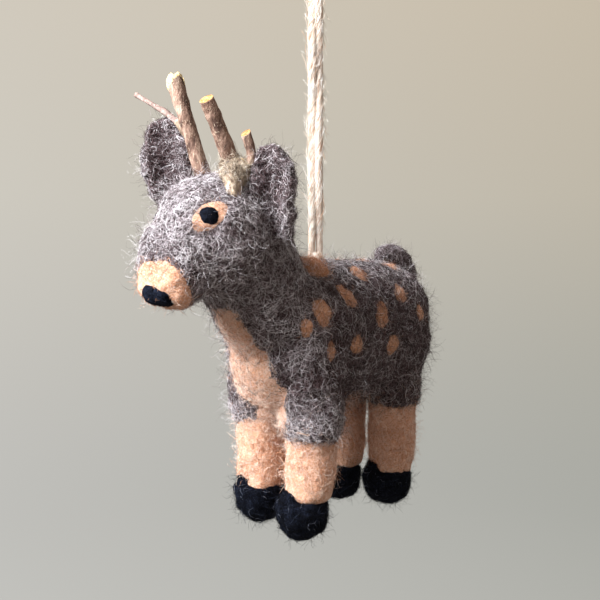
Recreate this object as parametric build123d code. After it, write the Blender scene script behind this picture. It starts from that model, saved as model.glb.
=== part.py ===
from build123d import *

import math
import os

# A needle-felted wool roe deer that hangs on a loop of doubled twine. All sizes are in millimetres.
# The deer faces -Y, its left side is +X and +Z is up. The origin is inside the fold at the top of the
# twine, where it lies on a hook. The deer hangs below it.
#
# Places on the deer are given by place(ahead, left, above): the distance ahead of the twine's line,
# the distance to the deer's left, and the height above the soles of its hooves.

# Whole ornament
BACK_HEIGHT = 67.0
BACK_TO_FOLD = 89.0
SOLE_DROP = BACK_HEIGHT + BACK_TO_FOLD

# Torso: a barrel of slot section, standing on edge, with rounded ends
BELLY_HEIGHT = 29.5
TORSO_WIDTH = 29.0
CHEST_AHEAD = 23.5
RUMP_BEHIND = 37.5
TORSO_END_ROUND = 13.0

# Felt layers
COAT = 4.0
PATCH = 1.2
EXIT_TUFT_RADIUS = 4.4

# Bib: half width and height of its outline's corners, and how far back it wraps
BIB_OUTLINE = [(4.0, 57.0), (8.0, 43.0), (10.0, 32.0)]
BIB_BACK_EDGE = 12.0

# Neck, head and muzzle
NECK_LOW = (11.0, 43.0)
NECK_HIGH = (26.0, 68.0)
NECK_RADIUS = 11.5
NECK_CORE_RADIUS = 6.5
HEAD_CENTRE = (34.5, 72.0)
HEAD_RADIUS = 13.7
MUZZLE_ROOT = (38.0, 66.6)
MUZZLE_TIP = (46.5, 61.5)
MUZZLE_ROOT_RADIUS = 9.2
MUZZLE_TIP_RADIUS = 7.0
MUZZLE_BAND_LENGTH = 2.6
NOSE_WIDTH = 6.4
NOSE_HEIGHT = 4.4

# Eyes, as a direction out of the head's centre: ahead, left, up
EYE_LINE = (0.64, 0.69, 0.33)
EYE_RING_LONG = 8.2
EYE_RING_SHORT = 6.0
EYE_RING_LEAN = 35.0
PUPIL_RADIUS = 1.9
EYE_RING_PROUD = 0.3
PUPIL_PROUD = 0.6

# Ears: leaf length, width, thickness and the ball that hollows the front
EAR_WIDTH = 10.6
EAR_THICKNESS = 3.4
EAR_CUP_BALL = 14.0
EAR_CUP_DEPTH = 1.6
EARS = {
    "left": {"centre": (29.5, 14.2, 83.5), "length": 21.0, "lean": 20.0, "turn": 20.0},
    "right": {"centre": (34.0, -13.5, 89.5), "length": 22.0, "lean": 22.0, "turn": 12.0},
}

# Legs: where each hoof and each leg top stands, as (ahead, left)
LEGS = {
    "front_left": {"hoof": (13.3, 7.3), "top": (11.6, 8.6)},
    "front_right": {"hoof": (13.6, -7.3), "top": (12.4, -7.1)},
    "rear_left": {"hoof": (-21.6, 7.1), "top": (-23.0, 7.8)},
    "rear_right": {"hoof": (-22.4, -7.3), "top": (-23.0, -7.6)},
}
LEG_TOP_HEIGHT = 38.0
HOOF_HEIGHT = 12.0
HOOF_RADIUS = 6.1
HOOF_ROUND = 3.6
SHANK_RADIUS = 5.8
SPIGOT_RADIUS = 3.4
SPIGOT_LENGTH = 6.0
CUFF_HEIGHTS = {"front": 24.5, "rear": 27.0}
CUFF_LOW_RADIUS = 6.7
CUFF_HIGH_RADIUS = 8.4

# Tail: an upturned curl
TAIL_RADIUS = 2.4
TAIL_CURL = 7.0
TAIL_CURL_CENTRE = (-31.5, 61.2)
TAIL_START_TURN = -50.0
TAIL_END_TURN = 116.0

# Twine: two strands twisted together, open at the top as an eye
STRAND_RADIUS = 0.9
STEM_RADIUS = 1.85
LEG_SPREAD = 0.95
EYE_NECK_DROP = 21.0
LOOP_POINTS = [
    (-2.2, -16.5),
    (-4.0, -11.0),
    (-4.9, -5.5),
    (-3.6, -0.6),
    (0.0, 1.6),
    (3.6, -0.6),
    (4.9, -5.5),
    (4.0, -11.0),
    (2.2, -16.5),
]

# Anchor knot: a ball on a short collar in a socket in the back
KNOT_RADIUS = 2.2
KNOT_CLEARANCE = 0.3
KNOT_ABOVE_BACK = 0.6
COLLAR_HEIGHT = 3.0
COLLAR_RADIUS = 1.8

# Pale spots on each flank, as (ahead, above, length, height, lean in degrees)
FLANK_SPOTS = [
    (18.0, 51.0, 3.4, 4.6, 10),
    (13.0, 54.5, 5.0, 6.4, 15),
    (10.5, 45.0, 3.0, 4.4, 0),
    (3.2, 57.5, 4.4, 5.6, 30),
    (1.2, 46.0, 3.6, 5.0, -10),
    (-8.8, 53.0, 4.2, 6.6, -8),
    (-13.0, 45.0, 3.4, 5.0, -25),
    (-18.6, 58.0, 4.0, 4.2, 0),
    (-25.6, 52.5, 3.6, 4.6, 10),
]

# Pale spots along the spine, as (ahead, left, length, width)
SPINE_SPOTS = [
    (9.0, 4.6, 6.2, 4.0),
    (8.0, -4.8, 5.4, 3.8),
    (-6.5, 5.2, 6.0, 4.2),
    (-8.0, -4.4, 5.2, 3.8),
    (-16.5, 0.6, 4.8, 4.2),
    (-23.0, 4.6, 4.6, 3.6),
]

BASE = (Align.CENTER, Align.CENTER, Align.MIN)
FAR = 100.0


def place(ahead, left, above):
    return Vector(left, -ahead, above - SOLE_DROP)


def ball(centre, radius):
    """A ball with its poles to the left and right, clear of the joins between pieces."""
    return Pos(centre) * Rot(0, 90, 0) * Sphere(radius)


def bar(start, end, start_radius, end_radius=None):
    """A round bar from start to end, tapered if the two radii differ."""
    run = end - start
    if end_radius is None or end_radius == start_radius:
        straight = Cylinder(start_radius, run.length, align=BASE)
    else:
        straight = Cone(start_radius, end_radius, run.length, align=BASE)
    return Plane(start, z_dir=run) * straight


def stud(centre, outward, long, short, lean, depth, proud):
    """An oval plug set into a surface at centre, long axis turned by lean from level."""
    seat = Plane(centre, x_dir=outward.cross(Vector(0, 0, 1)), z_dir=outward)
    oval = Rot(0, 0, lean) * Ellipse(long / 2, short / 2)
    return seat * (Pos(0, 0, -depth) * extrude(oval, depth + proud))


def torso_form(inset=0.0):
    """The barrel of the body, drawn in all round by inset."""
    section = SlotOverall(BACK_HEIGHT - BELLY_HEIGHT - 2 * inset, TORSO_WIDTH - 2 * inset)
    middle = (BACK_HEIGHT + BELLY_HEIGHT) / 2
    front = Plane(place(CHEST_AHEAD - inset, 0, middle), x_dir=(0, 0, 1), z_dir=(0, 1, 0))
    barrel = extrude(front * section, CHEST_AHEAD + RUMP_BEHIND - 2 * inset)
    ends = barrel.faces().filter_by(Axis.Y).edges()
    return fillet(ends, TORSO_END_ROUND - inset)


def neck_form(inset=0.0):
    low = place(NECK_LOW[0], 0, NECK_LOW[1])
    high = place(NECK_HIGH[0], 0, NECK_HIGH[1])
    return bar(low, high, NECK_RADIUS - inset)


def head_form(inset=0.0):
    return ball(place(HEAD_CENTRE[0], 0, HEAD_CENTRE[1]), HEAD_RADIUS - inset)


def muzzle_form():
    root = place(MUZZLE_ROOT[0], 0, MUZZLE_ROOT[1])
    tip = place(MUZZLE_TIP[0], 0, MUZZLE_TIP[1])
    return bar(root, tip, MUZZLE_ROOT_RADIUS, MUZZLE_TIP_RADIUS) + ball(tip, MUZZLE_TIP_RADIUS)


def muzzle_front():
    """Everything ahead of the line where the tan wool of the muzzle begins."""
    root = place(MUZZLE_ROOT[0], 0, MUZZLE_ROOT[1])
    tip = place(MUZZLE_TIP[0], 0, MUZZLE_TIP[1])
    along = (tip - root).normalized()
    return bar(tip - along * MUZZLE_BAND_LENGTH, tip + along * FAR, FAR)


def cores():
    """Rolled core wool: body, neck and head, each butted against the next."""
    torso = torso_form(COAT)
    head = head_form(COAT)
    low = place(NECK_LOW[0], 0, NECK_LOW[1])
    high = place(NECK_HIGH[0], 0, NECK_HIGH[1])
    neck = bar(low, high, NECK_CORE_RADIUS) - torso - head
    return {"core_torso": torso, "core_neck": neck, "core_head": head}


def leg(name):
    """One leg: a tan roll with a spigot, the black cap on it and the dark cuff over its top."""
    hoof_ahead, hoof_left = LEGS[name]["hoof"]
    top_ahead, top_left = LEGS[name]["top"]
    sole = place(hoof_ahead, hoof_left, 0)
    top = place(top_ahead, top_left, LEG_TOP_HEIGHT)
    line = (top - place(hoof_ahead, hoof_left, HOOF_HEIGHT)).normalized()
    ankle = place(hoof_ahead, hoof_left, HOOF_HEIGHT)

    spigot = Pos(ankle) * Pos(0, 0, -SPIGOT_LENGTH) * Cylinder(SPIGOT_RADIUS, SPIGOT_LENGTH + 1, align=BASE)
    cap = Pos(sole) * Cylinder(HOOF_RADIUS, HOOF_HEIGHT, align=BASE)
    cap = fillet(cap.faces().sort_by(Axis.Z)[0].edges(), HOOF_ROUND)

    below = Pos(ankle) * Pos(0, 0, -FAR) * Box(FAR, FAR, FAR, align=BASE)
    roll = bar(ankle - line * 2, top, SHANK_RADIUS) - below
    shank = roll + (spigot - Pos(ankle) * Box(FAR, FAR, FAR, align=BASE))

    cuff_height = CUFF_HEIGHTS[name.split("_")[0]]
    share = (cuff_height - HOOF_HEIGHT) / (LEG_TOP_HEIGHT - HOOF_HEIGHT)
    hem = ankle + (top - ankle) * share
    cuff = bar(hem, top, CUFF_LOW_RADIUS, CUFF_HIGH_RADIUS) - roll

    torso = torso_form()
    return {
        "shank_" + name: shank - torso,
        "cuff_" + name: cuff - torso,
        "hoof_" + name: cap - spigot,
    }


def parted_cuffs(pieces):
    """Left and right cuffs meet between the legs, so each stops just short of the middle plane."""
    gap = 0.05
    for name in LEGS:
        side = 1 if name.endswith("left") else -1
        half = Pos(side * (FAR / 2 + gap), 0, -SOLE_DROP) * Box(FAR, 3 * FAR, FAR)
        pieces["cuff_" + name] = pieces["cuff_" + name] & half
    return pieces


def ear(side):
    """A cupped leaf of felt that leans outwards, its root sunk in the head."""
    shape = EARS[side]
    sign = 1 if side == "left" else -1
    leaf = extrude(Ellipse(EAR_WIDTH / 2, shape["length"] / 2), EAR_THICKNESS / 2, both=True)
    leaf = fillet(leaf.edges(), EAR_THICKNESS * 0.35)
    hollow = Pos(0, 1.5, EAR_CUP_BALL + EAR_THICKNESS / 2 - EAR_CUP_DEPTH) * Sphere(EAR_CUP_BALL)
    leaf = leaf - hollow
    # The leaf is drawn with its length along Y and its hollow side towards +Z: stand it up facing -Y.
    stand = Rot(90, 0, 0) * leaf
    leaned = Rot(0, sign * shape["lean"], 0) * (Rot(0, 0, sign * shape["turn"]) * stand)
    return Pos(place(*shape["centre"])) * leaned - head_form()


def eye(side):
    """A tan oval ring with a black dot, both let into the coat."""
    ahead, left, up = EYE_LINE
    sign = 1 if side == "left" else -1
    outward = Vector(sign * left, -ahead, up).normalized()
    centre = place(HEAD_CENTRE[0], 0, HEAD_CENTRE[1]) + outward * HEAD_RADIUS
    lean = sign * EYE_RING_LEAN
    pupil = stud(centre, outward, 2 * PUPIL_RADIUS, 2 * PUPIL_RADIUS, 0, PATCH, PUPIL_PROUD)
    ring = stud(centre, outward, EYE_RING_LONG, EYE_RING_SHORT, lean, PATCH, EYE_RING_PROUD)
    return {"pupil_" + side: pupil, "eye_ring_" + side: ring - pupil}


def nose():
    root = place(MUZZLE_ROOT[0], 0, MUZZLE_ROOT[1])
    tip = place(MUZZLE_TIP[0], 0, MUZZLE_TIP[1])
    outward = (tip - root).normalized()
    return stud(tip + outward * MUZZLE_TIP_RADIUS, outward, NOSE_WIDTH, NOSE_HEIGHT, 0, 2 * PATCH, 0.3)


def antler_right():
    """A long beam with a torn end, and one thin side twig that points outwards."""
    root = place(31.1, -1.9, 74)
    crown = place(32.4, -4.3, 83)
    fork = place(34.8, -8.2, 98)
    tip = place(35.8, -11.0, 108.6)
    beam = bar(root, crown, 1.7, 2.0) + ball(crown, 2.0) + bar(crown, fork, 2.0, 1.9)
    beam = beam + ball(fork, 1.9) + bar(fork, tip, 1.9, 1.85)
    twig_bend = place(36.0, -16.0, 102.0)
    twig_tip = place(37.0, -25.0, 106.5)
    twig = bar(fork, twig_bend, 0.8, 0.65) + ball(twig_bend, 0.65) + bar(twig_bend, twig_tip, 0.65, 0.45)
    return beam + twig


def antler_left():
    """A stem with a knobbed fork: a thick beam with a sawn end and a thin tine."""
    root = place(31.7, 4.4, 74)
    fork = place(33.2, 5.8, 88)
    beam_tip = place(39.7, 3.5, 102)
    tine_foot = place(32.2, 9.4, 88)
    tine_tip = place(32.3, 8.3, 95)
    stem = bar(root, fork, 1.8, 2.1) + ball(fork, 2.5) + bar(fork, beam_tip, 2.25, 2.15)
    tine = bar(fork, tine_foot, 1.6, 1.3) + ball(tine_foot, 1.3) + bar(tine_foot, tine_tip, 1.1, 0.95)
    return stem + tine


def tail():
    """A curl that leaves the top of the rump and turns up and forward."""
    centre = place(TAIL_CURL_CENTRE[0], 0, TAIL_CURL_CENTRE[1])
    curl = Plane(centre, x_dir=(0, 1, 0), z_dir=(1, 0, 0))
    route = curl * CenterArc((0, 0), TAIL_CURL, TAIL_START_TURN, TAIL_END_TURN - TAIL_START_TURN)
    body = sweep(Plane(route @ 0, z_dir=route % 0) * Circle(TAIL_RADIUS), path=route)
    return body + ball(route @ 1, TAIL_RADIUS) - torso_form()


def bib_prism():
    """The front view of the bib, carried through the chest: narrow at the throat, wide below."""
    right = [(-half, above) for half, above in reversed(BIB_OUTLINE)]
    outline = Polyline(*BIB_OUTLINE, *right, close=True)
    front = Plane(place(FAR, 0, 0), x_dir=(-1, 0, 0), z_dir=(0, 1, 0))
    return extrude(front * make_face(outline), FAR - BIB_BACK_EDGE)


def chest_bib():
    skin = (torso_form() + neck_form()) - (torso_form(PATCH) + neck_form(PATCH))
    return (skin & bib_prism()) - head_form()


def belly_panel():
    """Tan wool under the body, between the front and rear legs."""
    between = Pos(place(-5.5, 0, BELLY_HEIGHT)) * Box(11.0, 21.0, 4.0)
    return (torso_form() - torso_form(PATCH)) & between


def flank_spots(side):
    sign = 1 if side == "left" else -1
    skin = torso_form() - torso_form(PATCH)
    plugs = []
    for ahead, above, length, height, lean in FLANK_SPOTS:
        centre = place(ahead, 0, above)
        oval = Rot(0, 0, sign * lean) * Ellipse(length / 2, height / 2)
        seat = Plane(centre, x_dir=(0, sign, 0), z_dir=(sign, 0, 0))
        plugs.append(skin & extrude(seat * oval, FAR))
    return Compound(children=[solid for plug in plugs for solid in plug.solids()])


def spine_spots():
    skin = torso_form() - torso_form(PATCH)
    plugs = []
    for ahead, left, length, width in SPINE_SPOTS:
        oval = Ellipse(width / 2, length / 2)
        plugs.append(skin & extrude(Pos(place(ahead, left, BACK_HEIGHT - 8)) * oval, 16))
    return Compound(children=[solid for plug in plugs for solid in plug.solids()])


def knot_centre():
    return place(0, 0, BACK_HEIGHT + KNOT_ABOVE_BACK)


def knot_socket():
    return Pos(knot_centre()) * Sphere(KNOT_RADIUS + KNOT_CLEARANCE)


def anchor_knot():
    centre = knot_centre()
    collar = bar(centre, centre + Vector(0, 0, COLLAR_HEIGHT), COLLAR_RADIUS)
    return Pos(centre) * Sphere(KNOT_RADIUS) + collar


def exit_tuft():
    """A low ring of tan wool round the socket."""
    ring = Pos(place(0, 0, BACK_HEIGHT - PATCH)) * Cylinder(EXIT_TUFT_RADIUS, PATCH + 0.5, align=BASE)
    return ring - knot_socket()


def twine_stem():
    """The two strands twisted together, as one round bar."""
    return bar(knot_centre() + Vector(0, 0, COLLAR_HEIGHT), Vector(0, 0, -EYE_NECK_DROP), STEM_RADIUS)


def twine_loop():
    """The open eye of one strand: straight runs joined by tangent arcs, both feet on the stem."""
    foot = (-LEG_SPREAD, -EYE_NECK_DROP)
    corners = [foot, *LOOP_POINTS, (-foot[0], foot[1])]
    points = [Vector(x, 0, z) for x, z in corners]
    radii = []
    for before, here, after in zip(points, points[1:], points[2:]):
        turn = math.radians((here - before).get_angle(after - here))
        shorter = min((here - before).length, (after - here).length)
        radii.append(0.45 * shorter / math.tan(turn / 2))
    print("twine_loop radii", [round(radius, 1) for radius in radii])
    route = FilletPolyline(*points, radius=radii)
    loop = sweep(Plane(points[0], z_dir=route % 0) * Circle(STRAND_RADIUS), path=route)
    expected = route.length * math.pi * STRAND_RADIUS**2
    print("twine_loop volume", round(loop.volume, 2), "section times length", round(expected, 2))
    above_neck = Pos(0, 0, -EYE_NECK_DROP) * Box(FAR, FAR, FAR, align=BASE)
    return loop & above_neck


def coats(pieces):
    """The marled coat in three shells, each cut away wherever another piece is let into it."""
    torso = torso_form() - pieces["core_torso"] - pieces["core_neck"] - knot_socket()
    for name in ("exit_tuft", "belly_panel", "chest_bib", "spine_spots", "flank_spots_left", "flank_spots_right"):
        torso = torso - pieces[name]

    neck = neck_form() - torso_form() - head_form() - muzzle_form() - pieces["core_neck"] - pieces["chest_bib"]

    head = head_form() + (muzzle_form() - muzzle_front())
    for name in ("core_head", "core_neck", "antler_left", "antler_right"):
        head = head - pieces[name]
    for side in ("left", "right"):
        head = head - pieces["pupil_" + side] - pieces["eye_ring_" + side]
    return {"torso_coat": torso, "neck_coat": neck, "head_coat": head}


def build():
    pieces = cores()
    pieces["antler_left"] = antler_left()
    pieces["antler_right"] = antler_right()
    pieces["core_head"] = pieces["core_head"] - pieces["antler_left"] - pieces["antler_right"]
    pieces["chest_bib"] = chest_bib()
    pieces["belly_panel"] = belly_panel()
    pieces["spine_spots"] = spine_spots()
    pieces["exit_tuft"] = exit_tuft()
    for side in ("left", "right"):
        pieces["flank_spots_" + side] = flank_spots(side)
        pieces["ear_" + side] = ear(side)
        pieces.update(eye(side))
    pieces["nose_patch"] = nose()
    pieces["muzzle_band"] = (muzzle_form() & muzzle_front()) - head_form() - pieces["nose_patch"]
    pieces["tail"] = tail()
    for name in LEGS:
        pieces.update(leg(name))
    pieces = parted_cuffs(pieces)
    pieces["anchor_knot"] = anchor_knot()
    pieces["twine_stem"] = twine_stem()
    pieces["twine_loop"] = twine_loop()
    pieces.update(coats(pieces))
    return pieces


os.makedirs("parts", exist_ok=True)
for node, shape in build().items():
    shape.label = node
    export_step(shape, f"parts/{node}.step")
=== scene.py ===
import math

import bmesh
import bpy
import numpy as np
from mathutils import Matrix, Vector, noise
from mathutils.bvhtree import BVHTree

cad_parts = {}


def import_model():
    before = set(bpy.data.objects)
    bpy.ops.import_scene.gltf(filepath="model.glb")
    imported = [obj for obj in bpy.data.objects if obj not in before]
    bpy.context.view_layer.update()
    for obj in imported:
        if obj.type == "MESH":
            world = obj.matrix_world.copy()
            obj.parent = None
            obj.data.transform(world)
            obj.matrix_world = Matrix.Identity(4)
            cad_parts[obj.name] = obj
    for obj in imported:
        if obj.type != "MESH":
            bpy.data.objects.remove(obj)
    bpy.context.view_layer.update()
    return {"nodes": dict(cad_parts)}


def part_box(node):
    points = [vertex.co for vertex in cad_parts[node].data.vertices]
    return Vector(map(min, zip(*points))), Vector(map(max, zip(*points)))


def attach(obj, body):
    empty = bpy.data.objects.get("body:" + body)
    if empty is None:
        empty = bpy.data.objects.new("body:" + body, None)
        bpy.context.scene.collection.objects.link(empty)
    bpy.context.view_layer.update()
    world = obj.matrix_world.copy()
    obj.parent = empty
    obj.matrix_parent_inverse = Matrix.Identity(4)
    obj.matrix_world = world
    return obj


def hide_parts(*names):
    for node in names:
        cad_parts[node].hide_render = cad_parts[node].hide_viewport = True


# A needle-felted wool roe deer on a doubled twine. Places are in millimetres as (ahead of the
# twine's line, to the deer's left, above the soles). Meshes are made in millimetres as (left,
# -ahead, above) and moved to the frame's metres at the end. Only the twine's are in millimetres
# from the frame's own origin.

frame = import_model()

MM = 0.001
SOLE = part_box("hoof_front_left")[0].z
EXIT_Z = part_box("anchor_knot")[0].z + 0.0022
BACK = (EXIT_Z - SOLE) / MM - 0.6

# Coat, as hulls of balls: (ahead, left, above) and (radius ahead, radius left, radius up)
TORSO = [
    ((11.5, 0, 44.2), (12.3, 14.9, 14.9)),
    ((11.5, 0, 51.6), (12.3, 14.9, 14.6)),
    ((-25.0, 0, 44.2), (13.8, 14.9, 14.9)),
    ((-25.0, 0, 51.6), (13.8, 14.9, 14.6)),
]
CHEST = [((13, 0, 45), (12, 13.5, 15)), ((14.5, 0, 52), (11, 12.5, 12))]
NECK = [((17.8, 0, 53.5), (11.4, 12.2, 12)), ((25.8, 0, 68), (11.6, 12.0, 12))]
HEAD = [((34, 0, 72), (13.8, 13.6, 13.7)), ((31, 0, 74), (11.5, 12.4, 11.3))]
MUZZLE = [
    ((40.3, -1.6, 68.0), (10.0, 10.6, 9.6)),
    ((47.4, -2.7, 61.5), (4.6, 4.2, 4.8)),
    ((46.0, 2.4, 61.0), (4.6, 4.0, 4.6)),
]

# Legs: (ahead, left) of the hoof and of the shank above it, how high the sole is, the height of
# the coat's hem, and how far (ahead, left) the cuff is off the shank
LEGS = {
    "front_left": ((13.0, 7.5), (10.7, 8.4), -0.7, 22.6, (0, 0.3)),
    "front_right": ((13.1, -6.9), (12.4, -6.7), 1.0, 25.6, (0.2, -0.5)),
    "rear_left": ((-21.6, 7.0), (-22.6, 7.7), 0.5, 26.4, (0, 0.2)),
    "rear_right": ((-18.6, -8.0), (-20.4, -7.6), -0.6, 27.5, (0, -0.2)),
}
LEG_TOP = 38.0
HOOF_TOP = 10.2
SHANK = 6.1
SHANK_FOOT = 9.0
ANKLE = 11.0
KNEE = 16.0

# Ears: foot (ahead, left, above), length, degrees leaned out, tipped ahead and turned left
EARS = {
    "left": ((26.4, 13.8, 72.6), 17.8, 5, 13, 6),
    "right": ((34.6, -12.6, 80.6), 18.4, 13, 2, 27),
}
EAR_OUTLINE = [(0, 2.6), (0.2, 4.1), (0.45, 4.9), (0.7, 4.8), (0.88, 3.9), (1, 2.4)]

# Tail: the middle of its curl (ahead, above), and (degrees round it, radius) of the balls along it
TAIL_MIDDLE = (-31.5, 61.4)
TAIL_CURL = 6.9
TAIL_BALLS = [(-50, 2.9), (-15, 3.2), (15, 3.2), (45, 3.0), (72, 2.9), (98, 2.7), (118, 2.3)]

# Places of the patches. The eyes' are directions from the head's centre.
BIB_TOP = 55.5
BIB_TALL = 27.5
BIB_TONGUE = (10.9, -4.7, 29.0)
BELLY = (-5.5, 0, 45)
TUFT = (7.6, 1.6, 50)
HEAD_CENTRE = (34.5, 0, 72)
SIDES = {"left": 1, "right": -1}
EYE_LINES = {"left": (0.655, 0.69, 0.285), "right": (0.56, -0.78, 0.285)}
MUZZLE_CAP = (45.6, -0.3, 61.6)
NOSE = (49.8, 0.5, 59.2)
NOSE_YAW = 20.0
NOSE_DIP = 16.0

# Spots: (ahead, above, length, height, lean) on a flank and (ahead, left, length, width) on top
FLANK_SPOTS = [
    (17.6, 51.0, 3.0, 5.4, 10),
    (13.0, 54.3, 5.6, 7.4, 12),
    (10.5, 45.0, 3.4, 5.4, 0),
    (3.4, 57.8, 4.8, 6.2, 25),
    (1.4, 46.0, 4.8, 5.6, -8),
    (-8.6, 52.8, 5.6, 7.8, -4),
    (-12.6, 45.0, 4.8, 6.0, -22),
    (-18.2, 57.8, 5.2, 5.6, 8),
    (-25.6, 52.5, 3.6, 4.6, 10),
]
SPINE_SPOTS = [
    (8.0, -6.4, 5.4, 3.8),
    (-6.8, 5.8, 6.8, 5.2),
    (-10.6, -1.4, 6.6, 4.6),
    (-17.4, 0.8, 6.8, 5.2),
    (-23.8, 3.6, 6.4, 5.0),
]

# The left antler's fork, where its bark is shaggy
FORK = (33.4, 6.4, 85.4)
FORK_REACH = 4.6

# Twine, from the origin: where its two halves part, and the open eye's points, as in the part,
# across and above the origin
STRAND = 0.9
EYE_FOOT = -27.0
EYE_NECK = -21.0
LOOP_POINTS = [
    (-2.2, -16.5), (-4.0, -11.0), (-4.9, -5.5), (-3.6, -0.6), (0.0, 1.6),
    (3.6, -0.6), (4.9, -5.5), (4.0, -11.0), (2.2, -16.5),
]
PLY_PITCH = 12.0
STRAND_GAP = 0.4

# Fibres: how many pieces the coat's are split into, and the kinds of matted fibres that lie on the
# wool: share of the count, shortest and longest, thinnest and thickest, and steps along. The loose
# ones stand off it and curl.
COAT_BANDS = 16
LYING_KINDS = [(2.0, 1.4, 4.2, 0.035, 0.085, 5), (0.2, 4.0, 9.0, 0.06, 0.1, 8)]
LOOSE_SHARE = 2.2
LOOSE_LENGTHS = (0.5, 5.4)
LOOSE_WIDTHS = (0.025, 0.055)

# Where a patch lies on the coat: how near in mm, and the share of the coat's fibres that stays
COAT_ON_PATCH = {
    "muzzle_band": (0.6, 0.02),
    "chest_bib": (0.45, 0.05),
    "eye_ring_left": (0.6, 0.03),
    "eye_ring_right": (0.6, 0.03),
    "flank_spots_left": (0.3, 0.2),
    "flank_spots_right": (0.3, 0.2),
    "spine_spots": (0.3, 0.2),
    "exit_tuft": (0.6, 0.06),
}
BLACK_ON_TAN = {"muzzle_band": "nose_patch", "eye_ring_left": "pupil_left", "eye_ring_right": "pupil_right"}

CAMERA_AZIMUTH = 43.0
CAMERA_PITCH = 2.8
CAMERA_DISTANCE = 199.0
CAMERA_HEIGHT = 66.5
CAMERA_SIDESTEP = 4.9
AIM_AHEAD = 12.95
CAMERA_LENS = 48.9

# Stage, in metres: how far below the soles, the flat radius, the sweep's radius and the wall's top
FLOOR_DROP = 0.16
FLOOR_FLAT = 0.55
FLOOR_SWEEP = 0.45
WALL_TOP = 1.3
GLOW = 0.9
LAMP_AIM = (0, -0.005, SOLE + 0.055)


def srgb(code):
    """A colour written as RRGGBB, in linear light."""
    parts = [int(code[i : i + 2], 16) / 255 for i in (0, 2, 4)]
    return [c / 12.92 if c <= 0.04045 else ((c + 0.055) / 1.055) ** 2.4 for c in parts] + [1.0]


def place(ahead, left, above):
    return np.array((left, -ahead, above), float)


def unit(v):
    v = np.asarray(v, float)
    return v / np.maximum(np.linalg.norm(v, axis=-1, keepdims=True), 1e-9)


def world(points):
    return np.asarray(points, float) * MM + np.array((0, 0, SOLE))


def local(points):
    return (np.asarray(points, float) - np.array((0, 0, SOLE))) / MM


def smoothstep(low, high, value):
    t = np.clip((value - low) / (high - low), 0, 1)
    return t * t * (3 - 2 * t)


def linked(name, data):
    """A new object in the scene for some mesh, curve, camera or lamp."""
    obj = bpy.data.objects.new(name, data)
    bpy.context.scene.collection.objects.link(obj)
    return obj


# ---------------------------------------------------------------- materials


def fresh_material(name, roughness, sheen=0.0, specular=0.25):
    mat = bpy.data.materials.new(name)
    mat.use_nodes = True
    shader = mat.node_tree.nodes["Principled BSDF"]
    shader.inputs["Roughness"].default_value = roughness
    shader.inputs["Specular IOR Level"].default_value = specular
    shader.inputs["Sheen Weight"].default_value = sheen
    return mat, mat.node_tree, shader


def noise_node(tree, scale, detail, distortion, stretch=(1, 1, 1), shift=0.0):
    coords = tree.nodes.new("ShaderNodeTexCoord")
    mapping = tree.nodes.new("ShaderNodeMapping")
    mapping.inputs["Scale"].default_value = stretch
    mapping.inputs["Location"].default_value = (shift, shift, shift)
    texture = tree.nodes.new("ShaderNodeTexNoise")
    texture.inputs["Scale"].default_value = scale
    texture.inputs["Detail"].default_value = detail
    texture.inputs["Distortion"].default_value = distortion
    tree.links.new(coords.outputs["Object"], mapping.inputs["Vector"])
    tree.links.new(mapping.outputs["Vector"], texture.inputs["Vector"])
    return texture.outputs["Fac"]


def ramp_node(tree, source, stops):
    ramp = tree.nodes.new("ShaderNodeValToRGB")
    ends = ramp.color_ramp.elements
    ends[0].position, ends[0].color = stops[0][0], srgb(stops[0][1])
    ends[1].position, ends[1].color = stops[-1][0], srgb(stops[-1][1])
    for position, code in stops[1:-1]:
        ends.new(position).color = srgb(code)
    tree.links.new(source, ramp.inputs["Fac"])
    return ramp.outputs["Color"]


def mix_node(tree, factor, first, second, blend="MIX"):
    mix = tree.nodes.new("ShaderNodeMix")
    mix.data_type = "RGBA"
    mix.blend_type = blend
    for socket, value in ((0, factor), (6, first), (7, second)):
        if isinstance(value, bpy.types.NodeSocket):
            tree.links.new(value, mix.inputs[socket])
        else:
            mix.inputs[socket].default_value = value
    return mix.outputs[2]


def math_node(tree, operation, first, second):
    node = tree.nodes.new("ShaderNodeMath")
    node.operation = operation
    tree.links.new(first, node.inputs[0])
    if isinstance(second, bpy.types.NodeSocket):
        tree.links.new(second, node.inputs[1])
    else:
        node.inputs[1].default_value = second
    return node.outputs[0]


def range_node(tree, source, low, high):
    node = tree.nodes.new("ShaderNodeMapRange")
    tree.links.new(source, node.inputs["Value"])
    node.inputs["From Min"].default_value = low
    node.inputs["From Max"].default_value = high
    return node.outputs["Result"]


def bump_node(tree, shader, source, strength, distance):
    bump = tree.nodes.new("ShaderNodeBump")
    bump.inputs["Strength"].default_value = strength
    bump.inputs["Distance"].default_value = distance
    tree.links.new(source, bump.inputs["Height"])
    tree.links.new(bump.outputs["Normal"], shader.inputs["Normal"])


def strands_node(tree, scale, shift, width):
    """Thin curling lines, where a swirled noise passes its middle value."""
    swirl = noise_node(tree, scale, 2, 1.6, shift=shift)
    away = math_node(tree, "ABSOLUTE", math_node(tree, "SUBTRACT", swirl, 0.5), 0)
    return range_node(tree, away, width, 0)


WOOL_STOPS = (0.3, 0.5, 0.75)
COAT_STOPS = (0.34, 0.48, 0.58, 0.7)


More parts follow.
